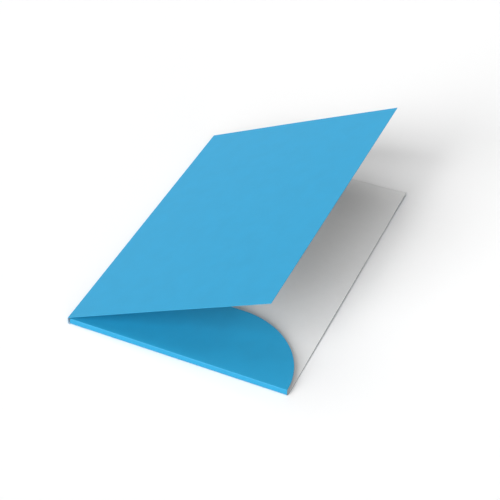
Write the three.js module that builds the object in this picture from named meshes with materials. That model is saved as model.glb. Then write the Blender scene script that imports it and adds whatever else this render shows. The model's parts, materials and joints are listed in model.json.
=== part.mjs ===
// Card presentation folder for A4 sheets, with one gusseted pocket at its foot.
//
// The real folder is one die-cut sheet of board, creased and folded. Here each flat
// panel of that sheet, each rounded fold and each hinge crease is a piece of its own.
// Units are millimetres. The folder lies on its back cover with its front cover part
// open: +Z is up, +X runs from the spine to the fore-edge, +Y runs from the foot to
// the head, and the origin is the middle of the closed folder's footprint.

import * as THREE from 'three';

// Board and glue
const boardThickness = 0.45;
const glueThickness = 0.15;

// Closed folder, outside
const folderWidth = 215;
const folderHeight = 310;
const cornerRadius = 0.3;
const cornerSegments = 8;

// Front cover and spine
const coverAngle = THREE.MathUtils.degToRad(25.4); // opened by this much from closed
const coverOverhang = 2.7; // closed front cover, past the back cover's fore-edge
const closingGap = 0.3; // closed front cover over the pocket's front
const creaseGap = 0.3; // crease bead to the panel on each side of it
const creaseFacets = 12;

// Pocket
const pocketDepth = 6; // clear depth over the back cover
const pocketHeight = 76.4;
const sweepSegments = 36; // along the quarter circle at the fore-edge end
const pocketInset = 0.8; // pocket's fore-edge end, in from the back cover's
const pocketToSpine = 1.7; // side gusset to the spine's inner face
const reliefHeight = 3; // cut up the back cover's corner from the foot fold
const seamGap = 0.3; // between cut edges that meet without a fold

// Folds, measured inside
const footFoldRadius = 1.5;
const pocketFoldRadius = 0.3;
const foldSegments = 6;

// Glue tab
const tabWidth = 18;
const tabMitre = 6; // tapers each end of the tab
const glueMargin = 2.5; // glue line to the tab's edges

// Levels and edges that the pieces share
const spineX = -folderWidth / 2;
const foreEdgeX = folderWidth / 2;
const footY = -folderHeight / 2;
const headY = folderHeight / 2;
const footFoldOuter = footFoldRadius + boardThickness;
const pocketFoldOuter = pocketFoldRadius + boardThickness;
const pocketTopZ = pocketDepth + 2 * boardThickness;
const pocketHeadY = footY + pocketHeight;
const pocketSpineX = spineX + boardThickness + pocketToSpine;
const pocketForeX = foreEdgeX - pocketInset;
const tabBottomZ = boardThickness + glueThickness;
const tabFootY = footY + footFoldOuter + seamGap;

// Hinge axes of the two creases, which run along Y
const creaseX = spineX + boardThickness / 2;
const backCreaseZ = boardThickness / 2;
const frontCreaseZ = pocketTopZ + closingGap + boardThickness / 2;
const creaseReach = boardThickness / 2 + creaseGap;

const X = new THREE.Vector3(1, 0, 0);
const Y = new THREE.Vector3(0, 1, 0);
const Z = new THREE.Vector3(0, 0, 1);

const printedBlue = { color: 0x4aaeda, roughness: 0.45, metalness: 0 };
const whiteBoard = { color: 0xf1f1ef, roughness: 0.8, metalness: 0 };
const clearGlue = { color: 0xe9e2c8, roughness: 0.3, metalness: 0 };

function piece(name, geometry, finish) {
  const mesh = new THREE.Mesh(geometry, new THREE.MeshStandardMaterial(finish));
  mesh.name = name;
  return mesh;
}

// A sheet cut to an outline drawn in its own plane, or a strip with that section.
function extrude(outline, depth = boardThickness, curveSegments = cornerSegments) {
  return new THREE.ExtrudeGeometry(outline, { depth, bevelEnabled: false, curveSegments });
}

// Turns a sheet upright: its outline is drawn in Y and Z, its thickness goes along X.
function acrossX(geometry) {
  return geometry.applyMatrix4(new THREE.Matrix4().makeBasis(Y, Z, X));
}

// Turns a sheet upright: its outline is drawn in X and Z, its thickness goes to -Y.
function acrossY(geometry) {
  return geometry.applyMatrix4(new THREE.Matrix4().makeBasis(X, Z, Y.clone().negate()));
}

function rectangle(left, bottom, right, top) {
  const outline = new THREE.Shape();
  outline.moveTo(left, bottom);
  outline.lineTo(right, bottom);
  outline.lineTo(right, top);
  outline.lineTo(left, top);
  outline.closePath();
  return outline;
}

// A quarter turn of board between two panels. quarter counts the quadrants
// anticlockwise from 0, the first, as seen in the plane of the section.
function fold(innerRadius, quarter, length) {
  const start = quarter * Math.PI / 2;
  const end = start + Math.PI / 2;
  const section = new THREE.Shape();
  section.absarc(0, 0, innerRadius + boardThickness, start, end, false);
  section.absarc(0, 0, innerRadius, end, start, true);
  section.closePath();
  return extrude(section, length, foldSegments);
}

// The bead that scoring raises in the board: a round strip on the hinge axis.
function creaseBead(name) {
  const bead = new THREE.CylinderGeometry(
    boardThickness / 2, boardThickness / 2, folderHeight, creaseFacets);
  return piece(name, bead, printedBlue);
}

// The back cover stops where the foot fold begins. Beside the pocket its corner is
// cut back in a curve, so that the folded-up pocket doesn't tear it.
function backCover() {
  const left = creaseX + creaseReach;
  const foot = footY + footFoldOuter;
  const outline = new THREE.Shape();
  outline.moveTo(left, foot);
  outline.lineTo(pocketForeX, foot);
  outline.quadraticCurveTo(foreEdgeX, foot, foreEdgeX, foot + reliefHeight);
  outline.lineTo(foreEdgeX, headY - cornerRadius);
  outline.absarc(foreEdgeX - cornerRadius, headY - cornerRadius, cornerRadius, 0, Math.PI / 2);
  outline.lineTo(left, headY);
  outline.closePath();
  return piece('back_cover', extrude(outline), whiteBoard);
}

function backCrease() {
  const bead = creaseBead('back_crease');
  bead.position.set(creaseX, 0, backCreaseZ);
  return bead;
}

function footFold() {
  const length = pocketForeX - pocketSpineX;
  const strip = piece('foot_fold', acrossX(fold(footFoldRadius, 2, length)), printedBlue);
  strip.position.set(pocketSpineX, footY + footFoldOuter, footFoldOuter);
  return strip;
}

function footGusset() {
  const outline = rectangle(
    pocketSpineX, footFoldOuter, pocketForeX, pocketTopZ - pocketFoldOuter);
  const panel = piece('foot_gusset', acrossY(extrude(outline)), printedBlue);
  panel.position.y = footY + boardThickness;
  return panel;
}

function pocketFootFold() {
  const start = pocketSpineX + pocketFoldOuter;
  const strip = piece(
    'pocket_foot_fold', acrossX(fold(pocketFoldRadius, 1, pocketForeX - start)), printedBlue);
  strip.position.set(start, footY + pocketFoldOuter, pocketTopZ - pocketFoldOuter);
  return strip;
}

// The pocket's front has a straight head edge, and its fore-edge end is a quarter
// circle that sweeps from that edge down to the fold.
function pocketFront() {
  const left = pocketSpineX + pocketFoldOuter;
  const foot = footY + pocketFoldOuter;
  const sweepRadius = pocketHeadY - foot;
  const outline = new THREE.Shape();
  outline.moveTo(left, foot);
  outline.lineTo(pocketForeX, foot);
  outline.absarc(pocketForeX - sweepRadius, foot, sweepRadius, 0, Math.PI / 2);
  outline.lineTo(left, pocketHeadY);
  outline.closePath();
  const panel = piece(
    'pocket_front', extrude(outline, boardThickness, sweepSegments), printedBlue);
  panel.position.z = pocketTopZ - boardThickness;
  return panel;
}

function pocketSideFold() {
  const start = footY + pocketFoldOuter;
  const strip = piece(
    'pocket_side_fold', acrossY(fold(pocketFoldRadius, 1, pocketHeadY - start)), printedBlue);
  strip.position.set(
    pocketSpineX + pocketFoldOuter, pocketHeadY, pocketTopZ - pocketFoldOuter);
  return strip;
}

function sideGusset() {
  const outline = rectangle(
    footY + boardThickness + seamGap,
    tabBottomZ + pocketFoldOuter,
    pocketHeadY,
    pocketTopZ - pocketFoldOuter);
  const panel = piece('side_gusset', acrossX(extrude(outline)), printedBlue);
  panel.position.x = pocketSpineX;
  return panel;
}

function tabFold() {
  const strip = piece(
    'tab_fold', acrossY(fold(pocketFoldRadius, 2, pocketHeadY - tabFootY)), printedBlue);
  strip.position.set(
    pocketSpineX + pocketFoldOuter, pocketHeadY, tabBottomZ + pocketFoldOuter);
  return strip;
}

// Outline of the tab, or of the glue under it when it is drawn in by a margin.
function tabOutline(margin) {
  const left = pocketSpineX + pocketFoldOuter + margin;
  const right = pocketSpineX + pocketFoldOuter + tabWidth - margin;
  const outline = new THREE.Shape();
  outline.moveTo(left, tabFootY + margin);
  outline.lineTo(right, tabFootY + tabMitre + margin);
  outline.lineTo(right, pocketHeadY - tabMitre - margin);
  outline.lineTo(left, pocketHeadY - margin);
  outline.closePath();
  return outline;
}

function glueTab() {
  const panel = piece('glue_tab', extrude(tabOutline(0)), whiteBoard);
  panel.position.z = tabBottomZ;
  return panel;
}

function tabGlue() {
  const film = piece('tab_glue', extrude(tabOutline(glueMargin), glueThickness), clearGlue);
  film.position.z = boardThickness;
  return film;
}

function spinePanel() {
  const outline = rectangle(
    footY, backCreaseZ + creaseReach, headY, frontCreaseZ - creaseReach);
  const panel = piece('spine_panel', acrossX(extrude(outline)), printedBlue);
  panel.position.x = spineX;
  return panel;
}

// Drawn with the hinge axis of its crease at the origin.
function frontCover() {
  const right = foreEdgeX + coverOverhang - creaseX;
  const outline = new THREE.Shape();
  outline.moveTo(creaseReach, footY);
  outline.lineTo(right - cornerRadius, footY);
  outline.absarc(right - cornerRadius, footY + cornerRadius, cornerRadius, -Math.PI / 2, 0);
  outline.lineTo(right, headY - cornerRadius);
  outline.absarc(right - cornerRadius, headY - cornerRadius, cornerRadius, 0, Math.PI / 2);
  outline.lineTo(creaseReach, headY);
  outline.closePath();
  const panel = piece('front_cover', extrude(outline), printedBlue);
  panel.position.z = -boardThickness / 2;
  return panel;
}

const pocket = new THREE.Group();
pocket.add(
  footFold(), footGusset(), pocketFootFold(), pocketFront(), pocketSideFold(),
  sideGusset(), tabFold(), glueTab(), tabGlue());

const openedCover = new THREE.Group();
openedCover.position.set(creaseX, 0, frontCreaseZ);
openedCover.rotation.y = -coverAngle;
openedCover.add(creaseBead('front_crease'), frontCover());

const folder = new THREE.Group();
folder.add(backCover(), backCrease(), pocket, spinePanel(), openedCover);

export default folder;
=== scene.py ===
import json
import math

import bmesh
import bpy
from bpy.props import FloatProperty, FloatVectorProperty, IntProperty, PointerProperty
from mathutils import Matrix, Vector


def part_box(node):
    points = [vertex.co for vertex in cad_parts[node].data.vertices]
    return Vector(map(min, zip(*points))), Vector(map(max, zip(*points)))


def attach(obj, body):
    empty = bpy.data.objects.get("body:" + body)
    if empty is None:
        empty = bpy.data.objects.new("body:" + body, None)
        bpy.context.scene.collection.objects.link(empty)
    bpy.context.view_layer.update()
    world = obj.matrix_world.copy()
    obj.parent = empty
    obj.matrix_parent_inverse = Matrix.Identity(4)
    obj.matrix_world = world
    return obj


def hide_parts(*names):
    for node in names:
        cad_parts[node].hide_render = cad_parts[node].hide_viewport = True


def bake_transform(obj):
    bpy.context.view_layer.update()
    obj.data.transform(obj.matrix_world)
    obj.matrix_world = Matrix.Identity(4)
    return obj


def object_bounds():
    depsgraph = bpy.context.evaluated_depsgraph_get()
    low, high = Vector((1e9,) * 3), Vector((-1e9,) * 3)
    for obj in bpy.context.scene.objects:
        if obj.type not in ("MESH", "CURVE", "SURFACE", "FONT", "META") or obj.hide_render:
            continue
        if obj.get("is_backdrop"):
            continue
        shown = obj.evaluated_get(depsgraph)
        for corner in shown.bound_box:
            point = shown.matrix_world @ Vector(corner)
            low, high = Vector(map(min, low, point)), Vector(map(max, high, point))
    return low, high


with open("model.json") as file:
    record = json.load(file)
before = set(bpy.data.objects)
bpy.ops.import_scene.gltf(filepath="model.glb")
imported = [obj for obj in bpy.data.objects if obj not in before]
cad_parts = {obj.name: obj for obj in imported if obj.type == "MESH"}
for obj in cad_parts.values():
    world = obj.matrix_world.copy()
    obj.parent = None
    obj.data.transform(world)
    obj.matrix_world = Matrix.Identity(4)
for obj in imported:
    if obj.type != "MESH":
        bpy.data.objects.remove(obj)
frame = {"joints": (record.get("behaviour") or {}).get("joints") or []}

bl_info = {
    "name": "Card Presentation Folder",
    "version": (1, 0, 0),
    "blender": (4, 5, 0),
    "location": "3D View > Sidebar > Folder",
    "description": "Builds an opened A4 presentation folder of printed card, with its pocket",
    "category": "Add Mesh",
}

FRAME_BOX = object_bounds()

# Places in the folder that the pieces share, in metres, all taken from the frame. The
# cover is closed at its joint's lower limit, which gives the angle that it is opened by.
JOINTS = {joint["name"]: joint for joint in frame["joints"]}
BACK_AXIS = Vector(JOINTS["spine_fold"]["pos_m"])
FRONT_AXIS = Vector(JOINTS["cover_fold"]["pos_m"])
COVER_ANGLE = -math.radians(JOINTS["cover_fold"]["range_deg"][0])

BACK_LOW, BACK_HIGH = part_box("back_cover")
SPINE_LOW, SPINE_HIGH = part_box("spine_panel")
GUSSET_LOW, GUSSET_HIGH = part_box("foot_gusset")
FOOT_FOLD_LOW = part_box("foot_fold")[0]
POCKET_LOW, POCKET_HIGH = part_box("pocket_front")
SIDE_LOW, SIDE_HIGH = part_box("side_gusset")
TAB_LOW, TAB_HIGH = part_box("glue_tab")
GLUE_LOW, GLUE_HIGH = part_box("tab_glue")
COVER_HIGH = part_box("front_cover")[1]

BOARD = BACK_HIGH[2] - BACK_LOW[2]
FOOT_Y = SPINE_LOW[1]
HEAD_Y = SPINE_HIGH[1]
FOLDER_LENGTH = HEAD_Y - FOOT_Y
CREASE_REACH = BACK_LOW[0] - BACK_AXIS.x
COVER_RISE = COVER_HIGH[2] - FRONT_AXIS.z - BOARD / 2 * math.cos(COVER_ANGLE)
COVER_REACH = COVER_RISE / math.sin(COVER_ANGLE)

# Slots of a card's materials on its mesh
OUTSIDE, INSIDE, EDGE = 0, 1, 2

# Angles in degrees: up to these, faces are shaded as one on a panel and on a fold
PANEL_SMOOTH = 50
FOLD_SMOOTH = 60

# A fold is a quarter turn, over the top or underneath, that starts at one of these
QUARTER = 90
OVER, UNDER = 90, 180

# Upright part of a face's normal: the faces of a rounded rim lie between these
RIM_STEEP, RIM_LEVEL = 0.25, 0.98

# Points nearer to each other than these are one, in metres, on a seam and in a cut
TOLERANCE = 1e-6
CUT_TOLERANCE = 1e-7


class FolderSizes(bpy.types.PropertyGroup):
    cell: FloatProperty(
        name="Cell", description="Size of the faces that a bent card is made of",
        default=0.008, unit="LENGTH")
    small_cell: FloatProperty(
        name="Small cell", description="Size of those faces on the spine and the pocket",
        default=0.005, unit="LENGTH")
    glue_cell: FloatProperty(
        name="Glue cell", description="Size of the faces that the film of glue is made of",
        default=0.003, unit="LENGTH")
    edge_radius: FloatProperty(
        name="Edge radius", description="Rounding of the card's cut edges",
        default=0.00014, unit="LENGTH")
    corner_radius: FloatProperty(
        name="Corner radius", description="Rounding of the covers' corners",
        default=0.0003, unit="LENGTH")
    back_bend: FloatProperty(
        name="Back bend", description="From the back crease's hinge to where the card is flat",
        default=0.0016, unit="LENGTH")
    cover_bow: FloatProperty(
        name="Cover bow", description="How far the middle of the front cover stands proud",
        default=0.0003, unit="LENGTH")
    back_lift: FloatProperty(
        name="Back lift", description="How far the back cover's fore-edge curls off the table",
        default=0.0011, unit="LENGTH")
    corner_curl: FloatProperty(
        name="Corner curl", description="How far the back cover's head corner curls up past that",
        default=0.0013, unit="LENGTH")
    curl_width: FloatProperty(
        name="Curl width", description="Width of that curled corner",
        default=0.025, unit="LENGTH")
    curl_height: FloatProperty(
        name="Curl height", description="Height of that curled corner",
        default=0.06, unit="LENGTH")
    pocket_sag: FloatProperty(
        name="Pocket sag", description="How far the pocket's free corner has dropped",
        default=0.0005, unit="LENGTH")
    tab_mitre: FloatProperty(
        name="Tab mitre", description="Taper at each end of the glue tab",
        default=0.006, unit="LENGTH")
    relief_height: FloatProperty(
        name="Relief height", description="Cut at the back cover's corner beside the pocket",
        default=0.003, unit="LENGTH")
    fold_steps: IntProperty(
        name="Fold steps", description="Faces round a quarter turn of card",
        default=12)
    corner_steps: IntProperty(
        name="Corner steps", description="Straight pieces round a cover's corner",
        default=6)
    relief_steps: IntProperty(
        name="Relief steps", description="Straight pieces along the relief cut",
        default=8)
    sweep_steps: IntProperty(
        name="Sweep steps", description="Straight pieces round the pocket's quarter circle",
        default=48)


class FolderColours(bpy.types.PropertyGroup):
    print_blue: FloatVectorProperty(
        name="Print blue", description="Ink on the outside of the card",
        subtype="COLOR", default=(0.0135, 0.325, 0.585))
    board_white: FloatVectorProperty(
        name="Board white", description="Unprinted inside of the card",
        subtype="COLOR", default=(0.825, 0.825, 0.82))
    # Painted shade: the plain card's cut edges are near-black, the way they look in shade; the
    # card's real core is white
    core_grey: FloatVectorProperty(
        name="Core grey", description="Inside of the card, seen at its cut edges",
        subtype="COLOR", default=(0.06, 0.06, 0.059))
    inked_core: FloatVectorProperty(
        name="Inked core", description="Cut edges that the outside's ink has been drawn over",
        subtype="COLOR", default=(0.05, 0.37, 0.63))
    glue_cream: FloatVectorProperty(
        name="Glue cream", description="Dried glue under the tab",
        subtype="COLOR", default=(0.72, 0.66, 0.48))
    floor_white: FloatVectorProperty(
        name="Floor white", description="Table that the folder lies on, as it is seen",
        subtype="COLOR", default=(0.962, 0.962, 0.962))
    floor_bounce: FloatVectorProperty(
        name="Floor bounce", description="Table as it throws light back on the folder",
        subtype="COLOR", default=(0.45, 0.45, 0.45))


def sizes():
    return bpy.context.scene.folder_sizes


def colours():
    return bpy.context.scene.folder_colours


# Materials

class NodeSheet:
    """A new material's node tree, with short ways to add and join nodes."""

    def __init__(self, name):
        self.material = bpy.data.materials.new(name)
        self.material.use_nodes = True
        self.tree = self.material.node_tree
        self.shader = self.tree.nodes["Principled BSDF"]
        self.position = self.add("ShaderNodeTexCoord").outputs["Object"]

    def add(self, kind, **settings):
        node = self.tree.nodes.new(kind)
        for key, value in settings.items():
            setattr(node, key, value)
        return node

    def join(self, source, target):
        self.tree.links.new(source, target)

    def noise(self, scale, detail=4.0, roughness=0.55, stretch=(1, 1, 1)):
        """Noise with features about 1/scale metres across."""
        mapping = self.add("ShaderNodeMapping")
        mapping.inputs["Scale"].default_value = stretch
        texture = self.add("ShaderNodeTexNoise")
        texture.inputs["Scale"].default_value = scale
        texture.inputs["Detail"].default_value = detail
        texture.inputs["Roughness"].default_value = roughness
        self.join(self.position, mapping.inputs["Vector"])
        self.join(mapping.outputs["Vector"], texture.inputs["Vector"])
        return texture.outputs["Fac"]

    def remap(self, factor, from_low, from_high, low, high):
        node = self.add("ShaderNodeMapRange")
        node.inputs["From Min"].default_value = from_low
        node.inputs["From Max"].default_value = from_high
        node.inputs["To Min"].default_value = low
        node.inputs["To Max"].default_value = high
        self.join(factor, node.inputs["Value"])
        return node.outputs["Result"]

    def spread(self, factor, from_low=0.3, from_high=0.7):
        """Spreads the middle of a noise factor's range over all of 0 to 1."""
        return self.remap(factor, from_low, from_high, 0, 1)

    def share(self, factor, low, high):
        """Maps a factor of 0 to 1 to the range low to high."""
        return self.remap(factor, 0, 1, low, high)

    def mix(self, factor, first, second):
        """Blends two colours, each of them a socket or three numbers."""
        node = self.add("ShaderNodeMix", data_type="RGBA")
        sockets = [s for s in node.inputs if s.type == "RGBA"]
        for socket, value in zip(sockets, (first, second)):
            if isinstance(value, bpy.types.NodeSocket):
                self.join(value, socket)
            else:
                socket.default_value = (*value, 1)
        self.join(factor, node.inputs["Factor"])
        return next(s for s in node.outputs if s.type == "RGBA")

    def bump(self, heights):
        """Adds height sources, each a (factor, depth in metres) pair, one over the other."""
        normal = None
        for factor, depth in heights:
            node = self.add("ShaderNodeBump")
            node.inputs["Strength"].default_value = 1
            node.inputs["Distance"].default_value = depth
            self.join(factor, node.inputs["Height"])
            if normal:
                self.join(normal, node.inputs["Normal"])
            normal = node.outputs["Normal"]
        self.join(normal, self.shader.inputs["Normal"])


def tinted(colour, share):
    return tuple(min(1, value * share) for value in colour)


def printed_outside():
    """Ink under a satin seal: even colour with faint mottle, on slightly uneven card."""
    sheet = NodeSheet("printed_outside")
    blue = tuple(colours().print_blue)
    mottle = sheet.spread(sheet.noise(scale=60, detail=3))
    fibre = sheet.spread(sheet.noise(scale=2200, detail=5, roughness=0.7))
    ink = sheet.mix(mottle, tinted(blue, 0.975), tinted(blue, 1.025))
    ink = sheet.mix(sheet.share(fibre, 0, 0.05), ink, tinted(blue, 1.25))
    sheet.join(ink, sheet.shader.inputs["Base Color"])
    sheet.join(sheet.share(fibre, 0.5, 0.58), sheet.shader.inputs["Roughness"])
    sheet.shader.inputs["Specular IOR Level"].default_value = 0.5
    unevenness = sheet.noise(scale=90, detail=2)
    grain = sheet.noise(scale=2600, detail=4, roughness=0.6)
    sheet.bump([(unevenness, 0.00002), (grain, 0.0000025)])
    return sheet.material


def white_inside():
    """Uncoated board: faint cloudiness, short fibres and a matt tooth."""
    sheet = NodeSheet("white_inside")
    white = tuple(colours().board_white)
    cloud = sheet.spread(sheet.noise(scale=110, detail=4))
    paper = sheet.mix(cloud, tinted(white, 0.985), white)
    fibre = sheet.noise(scale=1500, detail=6, roughness=0.75, stretch=(1, 0.35, 1))
    fleck = sheet.spread(fibre, from_low=0.66, from_high=0.78)
    paper = sheet.mix(sheet.share(fleck, 0, 0.25), paper, tinted(white, 0.8))
    sheet.join(paper, sheet.shader.inputs["Base Color"])
    sheet.shader.inputs["Roughness"].default_value = 0.82
    sheet.shader.inputs["Specular IOR Level"].default_value = 0.3
    sheet.bump([(sheet.noise(scale=1800, detail=5, roughness=0.65), 0.000006)])
    return sheet.material


def die_cut(name, core):
    """The card's die-cut edge: its plies, a little crushed and uneven."""
    sheet = NodeSheet(name)
    ply = sheet.spread(sheet.noise(scale=900, detail=5, roughness=0.7))
    plies = sheet.mix(ply, tinted(core, 0.88), tinted(core, 1.06))
    sheet.join(plies, sheet.shader.inputs["Base Color"])
    sheet.shader.inputs["Roughness"].default_value = 0.9
    sheet.bump([(sheet.noise(scale=3500, detail=4, roughness=0.7), 0.000015)])
    return sheet.material


def painted_shade_edge():
    # Painted shade: the plain card's edge is drawn near-black for the shade on it; its real core
    # is white
    return die_cut("painted_shade_edge", tuple(colours().core_grey))


def inked_edge():
    return die_cut("inked_edge", tuple(colours().inked_core))


def dried_glue():
    """Dried paper glue: cream, smooth, and darker where the film is thin."""
    sheet = NodeSheet("dried_glue")
    cream = tuple(colours().glue_cream)
    thick = sheet.spread(sheet.noise(scale=420, detail=3))
    film = sheet.mix(thick, tinted(cream, 0.85), tinted(cream, 1.1))
    sheet.join(film, sheet.shader.inputs["Base Color"])
    sheet.shader.inputs["Roughness"].default_value = 0.35
    sheet.bump([(sheet.noise(scale=500, detail=3), 0.00004)])
    return sheet.material


def material(maker):
    """The material that a maker function builds, made once."""
    return bpy.data.materials.get(maker.__name__) or maker()


# Card

def arc(centre_u, centre_v, radius, start, end, steps):
    """Points of an arc, angles in degrees."""
    points = []
    for step in range(steps + 1):
        angle = math.radians(start + (end - start) * step / steps)
        points.append((centre_u + radius * math.cos(angle), centre_v + radius * math.sin(angle)))
    return points


def cells(outline, cell):
    """Flat bmesh of an outline, cut into cells so that it can bend."""
    bm = bmesh.new()
    bm.faces.new([bm.verts.new((u, v, 0)) for u, v in outline])
    for axis in (0, 1):
        low = min(point[axis] for point in outline)
        high = max(point[axis] for point in outline)
        count = max(1, round((high - low) / cell))
        normal = Vector((1, 0, 0)) if axis == 0 else Vector((0, 1, 0))
        for step in range(1, count):
            place = normal * (low + (high - low) * step / count)
            bmesh.ops.bisect_plane(
                bm, geom=bm.verts[:] + bm.edges[:] + bm.faces[:], dist=CUT_TOLERANCE,
                plane_co=place, plane_no=normal)
    return bm


def thicken(flat, thickness, faces):
    """Closed card from a flat bmesh: faces gives the materials of its top and underside."""
    flat.verts.index_update()
    flat.normal_update()
    bm = bmesh.new()
    half = thickness / 2
    top = [bm.verts.new((v.co.x, v.co.y, half)) for v in flat.verts]
    under = [bm.verts.new((v.co.x, v.co.y, -half)) for v in flat.verts]
    for face in flat.faces:
        order = [v.index for v in face.verts]
        if face.normal.z < 0:
            order.reverse()
        bm.faces.new([top[i] for i in order]).material_index = faces[0]
        bm.faces.new([under[i] for i in reversed(order)]).material_index = faces[1]
        for loop in face.loops:
            if len(loop.edge.link_faces) == 1:
                a, b = loop.vert.index, loop.link_loop_next.vert.index
                side = [under[a], under[b], top[b], top[a]]
                bm.faces.new(side).material_index = EDGE
    bmesh.ops.recalc_face_normals(bm, faces=bm.faces[:])
    return bm


def round_rims(bm, radius, is_seam, faces):
    """Rounds the long edges of every cut side, apart from those on a seam. The cutting die
    draws the ink over the rounding on the printed side; the other side shows the core,
    which on the plain card is painted near-black as shade."""
    rims = []
    for edge in bm.edges:
        kinds = {face.material_index == EDGE for face in edge.link_faces}
        if kinds == {True, False} and not all(is_seam(v.co) for v in edge.verts):
            rims.append(edge)
    bmesh.ops.bevel(
        bm, geom=rims, offset=radius, offset_type="OFFSET", segments=2, profile=0.5,
        affect="EDGES", clamp_overlap=True, material=-1)
    bm.normal_update()
    for face in bm.faces:
        if RIM_STEEP < abs(face.normal.z) < RIM_LEVEL:
            side = faces[0] if face.normal.z > 0 else faces[1]
            face.material_index = OUTSIDE if side == OUTSIDE else EDGE


def finish_piece(name, bm, placing, materials, smooth_angle=PANEL_SMOOTH):
    """Turns a bmesh into a piece, each vertex placed in the folder by a function."""
    for vertex in bm.verts:
        vertex.co = placing(vertex.co)
    bmesh.ops.recalc_face_normals(bm, faces=bm.faces[:])
    mesh = bpy.data.meshes.new(name)
    bm.to_mesh(mesh)
    bm.free()
    for maker in materials:
        mesh.materials.append(material(maker))
    mesh.shade_smooth()
    mesh.set_sharp_from_angle(angle=math.radians(smooth_angle))
    piece = bpy.data.objects.new(name, mesh)
    bpy.context.collection.objects.link(piece)
    weighted = piece.modifiers.new("weighted_normals", "WEIGHTED_NORMAL")
    weighted.keep_sharp = True
    return piece


PRINTED_CARD = (printed_outside, white_inside, inked_edge)
PLAIN_CARD = (printed_outside, white_inside, painted_shade_edge)


def card(name, outline, placing, is_seam, node, body, faces=(OUTSIDE, INSIDE), cell=None):
    """A panel of card that stands for a CAD node and rides on its body."""
    printed = faces[0] == OUTSIDE
    bm = thicken(cells(outline, cell or sizes().cell), BOARD, faces)
    round_rims(bm, sizes().edge_radius, is_seam, faces)
    piece = finish_piece(name, bm, placing, PRINTED_CARD if printed else PLAIN_CARD)
    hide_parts(node)
    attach(piece, body)


def near(value, target):
    return abs(value - target) < TOLERANCE


def smooth(share):
    """Eases a share in and out, and holds it between 0 and 1."""
    share = max(0.0, min(1.0, share))
    return share * share * (3 - 2 * share)


def fold_section(centre, inner_radius, start, turn, steps):
    """Middle line of a fold as (point, outward normal) pairs, angles in degrees."""
    middle = inner_radius + BOARD / 2
    section = []
    for step in range(steps + 1):
        angle = math.radians(start + turn * step / steps)
        normal = Vector((math.cos(angle), math.sin(angle)))
        section.append((centre + normal * middle, normal))
    return section


def swept_strip(section, length, step):
    """Closed strip of card: a section of (point, normal) pairs swept along one axis.
    The strip's coordinates are (section x, section y, distance along)."""
    bm = bmesh.new()
    count = max(1, round(length / step))
    rows = []
    for row in range(count + 1):
        along = length * row / count
        outer = [bm.verts.new((*(p + n * BOARD / 2), along)) for p, n in section]
        inner = [bm.verts.new((*(p - n * BOARD / 2), along)) for p, n in section]
        rows.append((outer, inner))
    for (outer_a, inner_a), (outer_b, inner_b) in zip(rows, rows[1:]):
        for i in range(len(section) - 1):
            face = bm.faces.new([outer_a[i], outer_a[i + 1], outer_b[i + 1], outer_b[i]])
            face.material_index = OUTSIDE
            face = bm.faces.new([inner_a[i], inner_b[i], inner_b[i + 1], inner_a[i + 1]])
            face.material_index = INSIDE
        for i in (0, len(section) - 1):
            face = bm.faces.new([outer_a[i], outer_b[i], inner_b[i], inner_a[i]])
            face.material_index = EDGE
    for outer, inner in (rows[0], rows[-1]):
        for i in range(len(section) - 1):
            face = bm.faces.new([outer[i], inner[i], inner[i + 1], outer[i + 1]])
            face.material_index = EDGE
    return bm


def fold_piece(node, section, length, placing):
    """A bend of card that stands for a CAD node, not yet riding on a body."""
    bm = swept_strip(section, length, sizes().cell)
    piece = finish_piece(node + "_bend", bm, placing, PRINTED_CARD, FOLD_SMOOTH)
    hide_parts(node)
    return piece


class FOLDER_OT_back_cover(bpy.types.Operator):
    """Back cover: lies on the table, with a slight curl along its fore-edge"""
    bl_idname = "folder.back_cover"
    bl_label = "Back cover"

    # The card lies flat over flat_share of its width, from the spine. Its fore-edge lifts
    # by pocket_share of the full lift beside the pocket's head edge, and by head_share
    # more at its own head.
    flat_share = 0.375
    pocket_share = 0.8
    head_share = 0.15

    def execute(self, context):
        left, foot = BACK_AXIS.x + sizes().back_bend, BACK_LOW[1]
        right, head = BACK_HIGH[0], BACK_HIGH[1]
        inset = right - GUSSET_HIGH[0]
        relief = sizes().relief_height
        radius = sizes().corner_radius
        outline = [(left, foot), (FOOT_FOLD_LOW[0], foot), (GUSSET_HIGH[0], foot)]
        for step in range(1, sizes().relief_steps + 1):
            share = step / sizes().relief_steps
            outline.append((right - inset * (1 - share) ** 2, foot + relief * share ** 2))
        outline += arc(right - radius, head - radius, radius, 0, QUARTER, sizes().corner_steps)
        outline.append((left, head))
        lift, curl = sizes().back_lift, sizes().corner_curl
        curl_width, curl_height = sizes().curl_width, sizes().curl_height

        def placing(point):
            width_share = (point.x - left) / (right - left)
            across = smooth((width_share - self.flat_share) / (1 - self.flat_share))
            along = smooth((point.y - foot) / (POCKET_HIGH[1] - foot))
            beyond = smooth((point.y - POCKET_HIGH[1]) / (head - POCKET_HIGH[1]))
            lifted = self.pocket_share + self.head_share * beyond
            corner = max(0, 1 - (right - point.x) / curl_width) ** 2
            corner *= smooth(1 - (head - point.y) / curl_height)
            rise = lift * across * along * lifted + curl * corner
            return Vector((point.x, point.y, point.z + BOARD / 2 + rise))

        def is_seam(point):
            on_crease = near(point.x, left)
            on_fold = near(point.y, foot) and point.x > FOOT_FOLD_LOW[0] - TOLERANCE
            return on_crease or on_fold

        card("back_cover_card", outline, placing, is_seam, "back_cover", "back",
             faces=(INSIDE, OUTSIDE))
        return {"FINISHED"}


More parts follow.
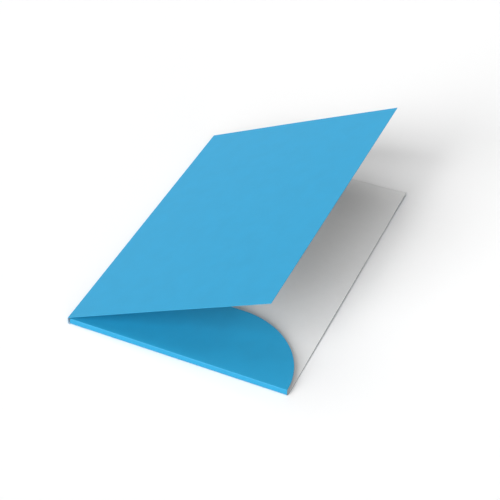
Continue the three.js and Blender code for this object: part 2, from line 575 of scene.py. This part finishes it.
class FOLDER_OT_spine_panel(bpy.types.Operator):
    """Spine: the narrow upright panel between the two creases"""
    bl_idname = "folder.spine_panel"
    bl_label = "Spine panel"

    def execute(self, context):
        low, high = BACK_AXIS.z + sizes().back_bend, SPINE_HIGH[2]
        outline = [(FOOT_Y, low), (HEAD_Y, low), (HEAD_Y, high), (FOOT_Y, high)]

        def placing(point):
            return Vector((BACK_AXIS.x - point.z, point.x, point.y))

        def is_seam(point):
            return near(point.y, low) or near(point.y, high)

        card("spine_card", outline, placing, is_seam, "spine_panel", "spine",
             cell=sizes().small_cell)
        return {"FINISHED"}


class FOLDER_OT_front_cover(bpy.types.Operator):
    """Front cover: opened about its crease, printed outside and white inside"""
    bl_idname = "folder.front_cover"
    bl_label = "Front cover"

    def execute(self, context):
        radius, steps = sizes().corner_radius, sizes().corner_steps
        right = COVER_REACH
        outline = [(CREASE_REACH, FOOT_Y)]
        outline += arc(right - radius, FOOT_Y + radius, radius, -QUARTER, 0, steps)
        outline += arc(right - radius, HEAD_Y - radius, radius, 0, QUARTER, steps)
        outline.append((CREASE_REACH, HEAD_Y))
        bow = sizes().cover_bow
        turn = Matrix.Rotation(-COVER_ANGLE, 3, "Y")

        def placing(point):
            share = (point.x - CREASE_REACH) / (right - CREASE_REACH)
            proud = bow * math.sin(math.pi * share) ** 2
            return FRONT_AXIS + turn @ Vector((point.x, point.y, point.z + proud))

        def is_seam(point):
            return near(point.x, CREASE_REACH)

        card("front_cover_card", outline, placing, is_seam, "front_cover", "cover")
        return {"FINISHED"}


class FOLDER_OT_creases(bpy.types.Operator):
    """Creases: the two bends that let the spine and the front cover turn"""
    bl_idname = "folder.creases"
    bl_label = "Creases"

    # The way that the card's outside faces where each bend starts, in degrees as seen
    # from the foot: down on the back cover, and away from the pocket on the spine
    facing_table = 270
    facing_out = 180

    def execute(self, context):
        self.crease("back_crease", BACK_AXIS, sizes().back_bend,
                    self.facing_table, -QUARTER, "back", "spine")
        self.crease("front_crease", FRONT_AXIS, CREASE_REACH,
                    self.facing_out, math.degrees(COVER_ANGLE) - QUARTER, "spine", "cover")
        return {"FINISHED"}

    def crease(self, node, axis, reach, start, turn, first_body, second_body):
        """A bend that runs straight on into its panels at a distance of reach from its axis."""
        half = math.radians(abs(turn)) / 2
        middle = reach / math.tan(half)
        first = Vector((math.cos(math.radians(start)), math.sin(math.radians(start))))
        tangent = Vector((first.y, -first.x))
        corner = Vector((axis.x, axis.z))
        centre = corner - first * middle - tangent * reach
        section = fold_section(centre, middle - BOARD / 2, start, turn, sizes().fold_steps)

        def placing(point):
            return Vector((point.x, FOOT_Y + point.z, point.y))

        piece = fold_piece(node, section, FOLDER_LENGTH, placing)
        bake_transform(piece)


class FOLDER_OT_pocket_front(bpy.types.Operator):
    """Pocket's front: straight head edge, and a quarter circle down to the fore-edge"""
    bl_idname = "folder.pocket_front"
    bl_label = "Pocket front"

    def execute(self, context):
        left, foot = POCKET_LOW[0], POCKET_LOW[1]
        right, head = POCKET_HIGH[0], POCKET_HIGH[1]
        radius = head - foot
        outline = [(left, foot)]
        outline += arc(right - radius, foot, radius, 0, QUARTER, sizes().sweep_steps)
        outline.append((left, head))
        middle_z = (POCKET_LOW[2] + POCKET_HIGH[2]) / 2
        sag = sizes().pocket_sag

        def placing(point):
            across = smooth((point.x - left) / (right - left))
            up = smooth((point.y - foot) / radius)
            return Vector((point.x, point.y, point.z + middle_z - sag * across * up))

        def is_seam(point):
            return near(point.x, left) or near(point.y, foot)

        card("pocket_front_card", outline, placing, is_seam, "pocket_front", "back",
             cell=sizes().small_cell)
        return {"FINISHED"}


class FOLDER_OT_gussets(bpy.types.Operator):
    """Gussets: the pocket's upright walls at the foot and beside the spine"""
    bl_idname = "folder.gussets"
    bl_label = "Gussets"

    def execute(self, context):
        low, high = GUSSET_LOW, GUSSET_HIGH
        outline = [(low[0], low[2]), (high[0], low[2]), (high[0], high[2]), (low[0], high[2])]
        middle_y = (low[1] + high[1]) / 2

        def foot_placing(point):
            return Vector((point.x, middle_y - point.z, point.y))

        def foot_seam(point):
            return near(point.y, low[2]) or near(point.y, high[2])

        card("foot_gusset_card", outline, foot_placing, foot_seam, "foot_gusset", "back",
             cell=sizes().small_cell)

        outline = [
            (SIDE_LOW[1], SIDE_LOW[2]), (SIDE_HIGH[1], SIDE_LOW[2]),
            (SIDE_HIGH[1], SIDE_HIGH[2]), (SIDE_LOW[1], SIDE_HIGH[2])]
        middle_x = (SIDE_LOW[0] + SIDE_HIGH[0]) / 2

        def side_placing(point):
            return Vector((middle_x - point.z, point.x, point.y))

        def side_seam(point):
            return near(point.y, SIDE_LOW[2]) or near(point.y, SIDE_HIGH[2])

        card("side_gusset_card", outline, side_placing, side_seam, "side_gusset", "back",
             cell=sizes().small_cell)
        return {"FINISHED"}


class FOLDER_OT_pocket_folds(bpy.types.Operator):
    """Folds: the rounded turns between the back cover, the gussets, the pocket and the tab"""
    bl_idname = "folder.pocket_folds"
    bl_label = "Pocket folds"

    def execute(self, context):
        for node, start in (("foot_fold", UNDER), ("pocket_foot_fold", OVER)):
            self.quarter_turn(node, start, across=1, along=0)
        for node, start in (("pocket_side_fold", OVER), ("tab_fold", UNDER)):
            self.quarter_turn(node, start, across=0, along=1)
        return {"FINISHED"}

    def quarter_turn(self, node, start, across, along):
        """A fold that turns from one level axis to the upright one, along the other axis."""
        low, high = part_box(node)
        centre = Vector((high[across], high[2] if start == UNDER else low[2]))
        inner_radius = high[across] - low[across] - BOARD
        section = fold_section(centre, inner_radius, start, QUARTER, sizes().fold_steps)

        def placing(point):
            place = Vector((0, 0, point.y))
            place[across] = point.x
            place[along] = low[along] + point.z
            return place

        piece = fold_piece(node, section, high[along] - low[along], placing)
        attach(piece, "back")


class FOLDER_OT_glue_tab(bpy.types.Operator):
    """Glue tab and the glue that holds it to the back cover"""
    bl_idname = "folder.glue_tab"
    bl_label = "Glue tab"

    def execute(self, context):
        outline = self.tapered(TAB_LOW, TAB_HIGH)
        middle_z = (TAB_LOW[2] + TAB_HIGH[2]) / 2

        def placing(point):
            return Vector((point.x, point.y, point.z + middle_z))

        def is_seam(point):
            return near(point.x, TAB_LOW[0])

        card("glue_tab_card", outline, placing, is_seam, "glue_tab", "back",
             faces=(INSIDE, OUTSIDE))

        glue_z = (GLUE_LOW[2] + GLUE_HIGH[2]) / 2
        thickness = GLUE_HIGH[2] - GLUE_LOW[2]
        flat = cells(self.tapered(GLUE_LOW, GLUE_HIGH), sizes().glue_cell)
        bm = thicken(flat, thickness, (OUTSIDE, OUTSIDE))
        for face in bm.faces:
            face.material_index = OUTSIDE

        def glue_placing(point):
            return Vector((point.x, point.y, point.z + glue_z))

        film = finish_piece("tab_glue_film", bm, glue_placing, (dried_glue,))
        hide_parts("tab_glue")
        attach(film, "back")
        return {"FINISHED"}

    def tapered(self, low, high):
        mitre = sizes().tab_mitre
        return [
            (low[0], low[1]), (high[0], low[1] + mitre),
            (high[0], high[1] - mitre), (low[0], high[1])]


class FOLDER_OT_stage(bpy.types.Operator):
    """Stage: pale table, soft lights and the camera"""
    bl_idname = "folder.stage"
    bl_label = "Stage"

    # Camera: its place and angles were worked out from the folder's corners
    camera_place = (0.4057, -0.9436, 0.8771)
    camera_azimuth = 23.1
    camera_elevation = 40.27
    camera_roll = 1.29
    camera_lens = 101.6
    camera_sensor = 36

    floor_size = 12

    # Soft lamps: azimuth from the front towards +X, elevation, strength, spread, with
    # the angles in degrees
    lamps = {
        "front_soft_box": (0, 42, 0.93, 30),
        "front_left_soft_box": (-22, 45, 0.53, 15),
        "low_front_left_soft_box": (-22, 20, 1.88, 30),
        "low_front_right_soft_box": (40, 20, 0.83, 30),
        "left_soft_box": (-90, 60, 0.84, 50),
        "overhead_soft_box": (0, 89, 0.4, 40),
        "right_lamp": (90, 59, 0.29, 10),
    }

    def execute(self, context):
        self.floor()
        self.world()
        self.lights()
        self.camera()
        context.scene.view_settings.view_transform = "Standard"
        return {"FINISHED"}

    def floor(self):
        mesh = bpy.data.meshes.new("table_top")
        half = self.floor_size / 2
        corners = [(-half, -half, 0), (half, -half, 0), (half, half, 0), (-half, half, 0)]
        mesh.from_pydata(corners, [], [(0, 1, 2, 3)])
        floor = bpy.data.objects.new("table_top", mesh)
        bpy.context.collection.objects.link(floor)
        sheet = NodeSheet("table_white")
        white = tuple(colours().floor_white)
        cloud = sheet.spread(sheet.noise(scale=8, detail=2))
        seen = sheet.mix(cloud, tinted(white, 0.995), white)
        bounce = tuple(colours().floor_bounce)
        table = sheet.mix(self.seen_rays(sheet.tree), bounce, seen)
        sheet.join(table, sheet.shader.inputs["Base Color"])
        sheet.shader.inputs["Roughness"].default_value = 0.9
        sheet.shader.inputs["Specular IOR Level"].default_value = 0.1
        mesh.materials.append(sheet.material)
        floor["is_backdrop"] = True

    def world(self):
        world = bpy.data.worlds.new("studio")
        world.use_nodes = True
        bpy.context.scene.world = world
        tree = world.node_tree
        background = tree.nodes["Background"]
        background.inputs["Color"].default_value = (1, 1, 1, 1)
        tree.links.new(self.seen_rays(tree), background.inputs["Strength"])

    def seen_rays(self, tree):
        """1 for rays from the camera, straight or by way of gloss or glass, and 0 for
        the rays that only light things."""
        rays = tree.nodes.new("ShaderNodeLightPath")
        total = rays.outputs["Is Camera Ray"]
        for name in ("Is Glossy Ray", "Is Transmission Ray"):
            larger = tree.nodes.new("ShaderNodeMath")
            larger.operation = "MAXIMUM"
            tree.links.new(total, larger.inputs[0])
            tree.links.new(rays.outputs[name], larger.inputs[1])
            total = larger.outputs["Value"]
        return total

    def lights(self):
        for name, (azimuth, elevation, strength, spread) in self.lamps.items():
            light = bpy.data.lights.new(name, "SUN")
            light.energy = strength
            light.angle = math.radians(spread)
            lamp = bpy.data.objects.new(name, light)
            turn = Matrix.Rotation(math.radians(azimuth), 4, "Z")
            turn = turn @ Matrix.Rotation(math.radians(90 - elevation), 4, "X")
            lamp.matrix_world = turn
            bpy.context.collection.objects.link(lamp)

    def camera(self):
        data = bpy.data.cameras.new("camera")
        data.sensor_width = self.camera_sensor
        data.lens = self.camera_lens
        camera = bpy.data.objects.new("camera", data)
        turn = Matrix.Rotation(math.radians(self.camera_azimuth), 4, "Z")
        turn = turn @ Matrix.Rotation(math.radians(90 - self.camera_elevation), 4, "X")
        turn = turn @ Matrix.Rotation(math.radians(self.camera_roll), 4, "Z")
        camera.matrix_world = Matrix.Translation(self.camera_place) @ turn
        bpy.context.collection.objects.link(camera)
        bpy.context.scene.camera = camera


class FOLDER_PT_parts(bpy.types.Panel):
    """Lists the folder's pieces in the sidebar"""
    bl_idname = "FOLDER_PT_parts"
    bl_label = "Presentation Folder"
    bl_space_type = "VIEW_3D"
    bl_region_type = "UI"
    bl_category = "Folder"

    def draw(self, context):
        column = self.layout.column()
        for operator in PARTS:
            column.operator(operator.bl_idname)
        for group in (context.scene.folder_sizes, context.scene.folder_colours):
            for name in group.__annotations__:
                column.prop(group, name)


PARTS = (
    FOLDER_OT_back_cover,
    FOLDER_OT_spine_panel,
    FOLDER_OT_front_cover,
    FOLDER_OT_creases,
    FOLDER_OT_pocket_front,
    FOLDER_OT_gussets,
    FOLDER_OT_pocket_folds,
    FOLDER_OT_glue_tab,
    FOLDER_OT_stage,
)
CLASSES = (FolderSizes, FolderColours) + PARTS + (FOLDER_PT_parts,)


def register():
    for cls in CLASSES:
        bpy.utils.register_class(cls)
    bpy.types.Scene.folder_sizes = PointerProperty(type=FolderSizes)
    bpy.types.Scene.folder_colours = PointerProperty(type=FolderColours)


def unregister():
    del bpy.types.Scene.folder_colours
    del bpy.types.Scene.folder_sizes
    for cls in reversed(CLASSES):
        bpy.utils.unregister_class(cls)


def corners(box):
    return [[float(value) for value in corner] for corner in box]


def main():
    register()
    bpy.ops.folder.back_cover()
    bpy.ops.folder.spine_panel()
    bpy.ops.folder.front_cover()
    bpy.ops.folder.creases()
    bpy.ops.folder.pocket_front()
    bpy.ops.folder.gussets()
    bpy.ops.folder.pocket_folds()
    bpy.ops.folder.glue_tab()
    bpy.ops.folder.stage()
    {"cad": corners(FRAME_BOX), "visual": corners(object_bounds())}


if __name__ == "__main__":
    main()
